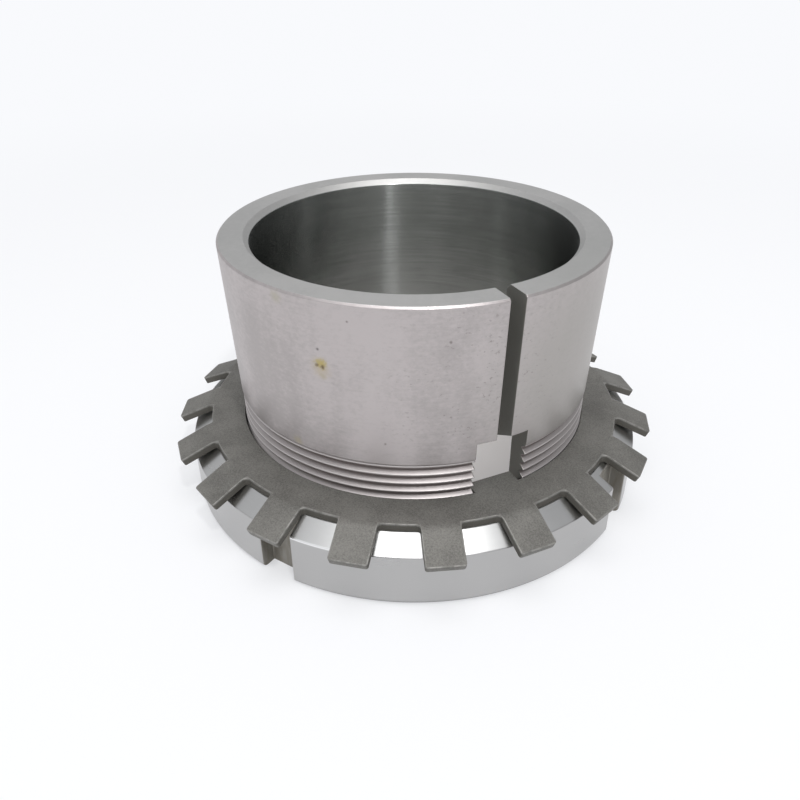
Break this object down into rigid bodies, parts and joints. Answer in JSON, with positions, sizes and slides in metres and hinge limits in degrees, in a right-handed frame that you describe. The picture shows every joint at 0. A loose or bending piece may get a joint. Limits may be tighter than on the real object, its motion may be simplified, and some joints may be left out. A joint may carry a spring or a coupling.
{
  "type": "bearing adapter sleeve",
  "caption": "Slit steel sleeve with a tapered seat and a threaded end, with its slotted lock nut and toothed lock washer, for holding a tapered-bore bearing on a plain shaft.",
  "frame": {"origin": "on the sleeve's axis, in the plane of the nut's lower face on which the part stands", "axes": "+Z along the axis towards the large end of the taper; +X and +Y through the nut's spanner slots"},
  "size_m": [0.1122, 0.1119, 0.059],
  "materials": {
    "ground_steel": "ground, satin",
    "turned_steel": "turned, satin",
    "phosphated_steel": "phosphated, matte"
  },
  "bodies": {
    "sleeve": {"adapter_sleeve": "ground_steel"},
    "washer": {"lock_washer": "phosphated_steel"},
    "nut": {"lock_nut": "turned_steel"}
  },
  "joints": [
    {"name": "washer_slide", "type": "slide", "parent": "sleeve", "child": "washer", "axis": [0, 0, 1], "range_m": [-0.012, 0.006]},
    {"name": "nut_turn", "type": "hinge", "parent": "washer", "child": "nut", "pos_m": [0, 0, 0.0075], "axis": [0, 0, 1], "range_deg": [-2160, 1080]}
  ],
  "couplings": [
    {"joint": "washer_slide", "follows": "nut_turn", "m_per_rad": 0.00031831}
  ]
}
